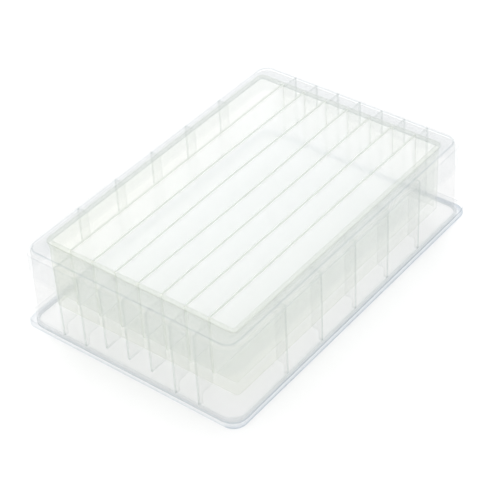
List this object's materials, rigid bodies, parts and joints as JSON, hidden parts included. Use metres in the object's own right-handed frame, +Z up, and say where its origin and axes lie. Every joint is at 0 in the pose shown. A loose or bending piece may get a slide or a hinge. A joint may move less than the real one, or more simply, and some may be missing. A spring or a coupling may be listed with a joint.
{
  "type": "channel tray in a skirted stand",
  "caption": "Low rectangular tray of long parallel channels parted by thin lift-out blades, standing in a ribbed skirt with a flat deck and a short foot flange.",
  "frame": {"origin": "middle of the footprint, on the plane that the foot stands on", "axes": "+X along the channels, +Y across them, +Z up; the part is the same turned half round"},
  "size_m": [0.1278, 0.0854, 0.0304],
  "materials": {
    "skirt_plastic": "clear, slightly hazy moulded plastic, cool tint",
    "tray_plastic": "clear, hazy moulded plastic, faint green tint",
    "blade_plastic": "clear, hazy thin plastic sheet"
  },
  "bodies": {
    "skirt": {"skirt_walls": "skirt_plastic", "front_deck": "skirt_plastic", "back_deck": "skirt_plastic", "left_deck": "skirt_plastic", "right_deck": "skirt_plastic", "foot_flange": "skirt_plastic", "left_end_web_1": "skirt_plastic", "left_end_web_2": "skirt_plastic", "left_end_web_3": "skirt_plastic", "left_end_web_4": "skirt_plastic", "left_end_web_5": "skirt_plastic", "left_end_web_6": "skirt_plastic", "left_end_web_7": "skirt_plastic", "right_end_web_1": "skirt_plastic", "right_end_web_2": "skirt_plastic", "right_end_web_3": "skirt_plastic", "right_end_web_4": "skirt_plastic", "right_end_web_5": "skirt_plastic", "right_end_web_6": "skirt_plastic", "right_end_web_7": "skirt_plastic", "front_side_web_1": "skirt_plastic", "front_side_web_2": "skirt_plastic", "front_side_web_3": "skirt_plastic", "front_side_web_4": "skirt_plastic", "front_side_web_5": "skirt_plastic", "back_side_web_1": "skirt_plastic", "back_side_web_2": "skirt_plastic", "back_side_web_3": "skirt_plastic", "back_side_web_4": "skirt_plastic", "back_side_web_5": "skirt_plastic"},
    "tray": {"channel_tray": "tray_plastic"},
    "divider_1": {"divider_1": "blade_plastic"},
    "divider_2": {"divider_2": "blade_plastic"},
    "divider_3": {"divider_3": "blade_plastic"},
    "divider_4": {"divider_4": "blade_plastic"},
    "divider_5": {"divider_5": "blade_plastic"},
    "divider_6": {"divider_6": "blade_plastic"},
    "divider_7": {"divider_7": "blade_plastic"}
  },
  "joints": [
    {"name": "tray_lift", "type": "slide", "parent": "skirt", "child": "tray", "axis": [0, 0, 1], "range_m": [0, 0.032]},
    {"name": "divider_1_lift", "type": "slide", "parent": "tray", "child": "divider_1", "axis": [0, 0, 1], "range_m": [0, 0.026]},
    {"name": "divider_2_lift", "type": "slide", "parent": "tray", "child": "divider_2", "axis": [0, 0, 1], "range_m": [0, 0.026]},
    {"name": "divider_3_lift", "type": "slide", "parent": "tray", "child": "divider_3", "axis": [0, 0, 1], "range_m": [0, 0.026]},
    {"name": "divider_4_lift", "type": "slide", "parent": "tray", "child": "divider_4", "axis": [0, 0, 1], "range_m": [0, 0.026]},
    {"name": "divider_5_lift", "type": "slide", "parent": "tray", "child": "divider_5", "axis": [0, 0, 1], "range_m": [0, 0.026]},
    {"name": "divider_6_lift", "type": "slide", "parent": "tray", "child": "divider_6", "axis": [0, 0, 1], "range_m": [0, 0.026]},
    {"name": "divider_7_lift", "type": "slide", "parent": "tray", "child": "divider_7", "axis": [0, 0, 1], "range_m": [0, 0.026]}
  ]
}
